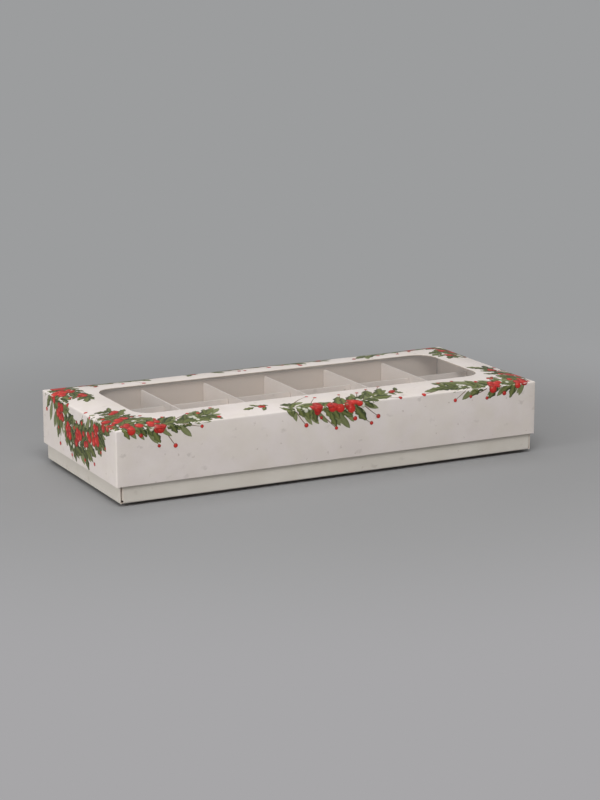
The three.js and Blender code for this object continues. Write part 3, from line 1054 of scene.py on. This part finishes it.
# %% Layout of the sprays
# Leaves and twigs: count, lean from the curve, length, width as a share of it, scatter.
# Berries: places along the curve, count at each, diameter, spread.
RECIPES = {
    "swag": {
        "twigs": (22, (0.5, 1.3), (13, 18), (0.035, 0.05), 2.0),
        "mistletoe": (64, (0.5, 1.2), (9, 14), (0.20, 0.28), 3.0),
        "holly": (84, (0.3, 1.4), (8, 12), (0.42, 0.55), 3.8),
        "berries": ((0.08, 0.22, 0.36, 0.5, 0.64, 0.78, 0.92), 8, (3.2, 5.0), 5.0),
        "pale_berries": ((0.15, 0.3, 0.43, 0.57, 0.7, 0.85), 4, (1.8, 2.4), 6.5),
    },
    "rim": {
        "twigs": (10, (0.4, 1.2), (11, 16), (0.035, 0.05), 1.5),
        "mistletoe": (28, (0.4, 1.1), (8, 13), (0.20, 0.28), 1.6),
        "holly": (32, (0.3, 1.3), (7, 11), (0.42, 0.55), 2.2),
        "berries": ((0.15, 0.45), 8, (3.2, 4.8), 4.4),
        "pale_berries": ((0.35, 0.8), 4, (1.8, 2.4), 4.0),
    },
    "end": {
        "holly": (18, (0.3, 1.2), (7, 10), (0.42, 0.55), 2.0),
        "berries": ((0.3, 0.8), 4, (2.8, 4.0), 2.6),
    },
    "sprig": {
        "holly": (4, (0.5, 0.9), (5, 7), (0.45, 0.55), 0.8),
        "berries": ((0.5,), 3, (2.4, 3.0), 1.4),
    },
    "middle": {
        "twigs": (14, (0.5, 1.4), (12, 17), (0.035, 0.05), 2.0),
        "mistletoe": (30, (0.4, 1.2), (9, 13), (0.20, 0.28), 1.6),
        "holly": (34, (0.3, 1.3), (7, 11), (0.42, 0.55), 2.0),
        "berries": ((0.3, 0.5, 0.7), 7, (3.2, 4.8), 4.0),
        "pale_berries": ((0.2, 0.8), 4, (1.8, 2.4), 4.0),
    },
}
TIP_BERRY = (1.6, 2.4)  # diameters at the ends of twigs
tables = {kind: [] for kind in RECIPES["swag"]}


def grow(spray, sign_s, sign_t):
    """Fill the tables for one spray, mirrored along s or t; its kinds draw in the recipe's order."""
    curve = np.array(CURVES[spray], float) * (sign_s, sign_t)
    over_end = float(spray in OVER_END_SPRAYS)
    for kind, settings in RECIPES[spray].items():
        make = tufts if "berries" in kind else stand_along
        tables[kind].append(make(curve, over_end, *settings))


for sign_s in (-1, 1):
    grow("swag", sign_s, 1)
    for sign_t in (-1, 1):
        for spray in ("rim", "end", "sprig"):
            grow(spray, sign_s, sign_t)
for sign_t in (-1, 1):
    grow("middle", 1, sign_t)
tables["berries"] += [tips(table, TIP_BERRY) for table in tables["twigs"]]
print("copies:", {kind: sum(map(len, parts)) for kind, parts in tables.items()})

# %% [markdown]
# Ink on coated board is a little glossier than the board itself, and where the fibres stand up some
# of the board shows through. Each motif could have a material of its own, but one ink that takes its
# colour from the painted points keeps them alike. Twigs lie lowest, then leaves, then berries, and
# the copies of a motif take slightly different heights, so that no two faces share one place.


# %% Ink
def ink_material():
    material, start = new_material("print_ink")
    place = start.node("TexCoord", output="Object")
    ink = start.node("Attribute", {"attribute_name": "ink"}, output="Color")
    grain = place.noise(900.0, 3.0, 0.6)
    faded = (grain.ramp(0.5, 0.8) * 0.08).mix(ink, rgb(226, 216, 206))
    shader = start.node("BsdfPrincipled", None, {
        "Base Color": faded,
        "Roughness": 0.42 + grain * 0.12,
        "Specular IOR Level": 0.35,
        "Normal": start.node("Bump", None, {"Strength": 0.1, "Distance": 0.0002, "Height": grain}),
    })
    finish_surface(start, shader)
    return material


ink_skin = ink_material()
print("ink:", ink_skin.name)

# %% Printing
PRINTS = {  # from the lowest layer up: the motif's grid, the grid's settings and its colours
    "twigs": (leaf_grid, (13, 3, twig_outline), twig_colour),
    "mistletoe": (leaf_grid, (9, 3, mistletoe_outline), mistletoe_colour),
    "holly": (leaf_grid, (13, 5, holly_outline), holly_colour),
    "pale_berries": (disc_grid, (4,), pale_berry_colour),
    "berries": (disc_grid, (6,), berry_colour),
}
LAYER_STEPS = 48  # heights within a layer, used in turn
INK_LOWEST = 0.1  # as a share of the room for ink
INK_SPAN = 0.85  # of all layers, as such a share


def print_motif(name, table, layer, grid, colour):
    """Fold all copies of a motif onto the lid and paint their points."""
    s, t, u, v = grid
    s, t = trim(s, t, column(table, OVER_END) > 0.5)
    step = np.arange(len(table)) % LAYER_STEPS / LAYER_STEPS
    lift = INK * (INK_LOWEST + INK_SPAN * (layer + step) / len(PRINTS))[:, None, None]
    points = lay_on_lid(s, t, lift)
    count, rows, columns = s.shape
    one = grid_faces(rows, columns)
    faces = (one[None] + (np.arange(count) * rows * columns)[:, None, None]).reshape(-1, 4)
    piece = mesh_piece(name, points.reshape(-1, 3), faces, ink_skin, smooth_below=60)
    paint = np.ones((*s.shape, 4), np.float32)
    paint[..., :3] = colour(*(np.broadcast_to(value, s.shape) for value in (u, v, column(table, TONE))))
    ink = piece.data.attributes.new("ink", "FLOAT_COLOR", "POINT")
    ink.data.foreach_set("color", paint.ravel())
    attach(piece, "lid")
    print(name, len(faces), "faces")


for layer, (kind, (make_grid, settings, colour)) in enumerate(PRINTS.items()):
    table = np.concatenate(tables[kind])
    print_motif("print_" + kind, table, layer, make_grid(table, *settings), colour)
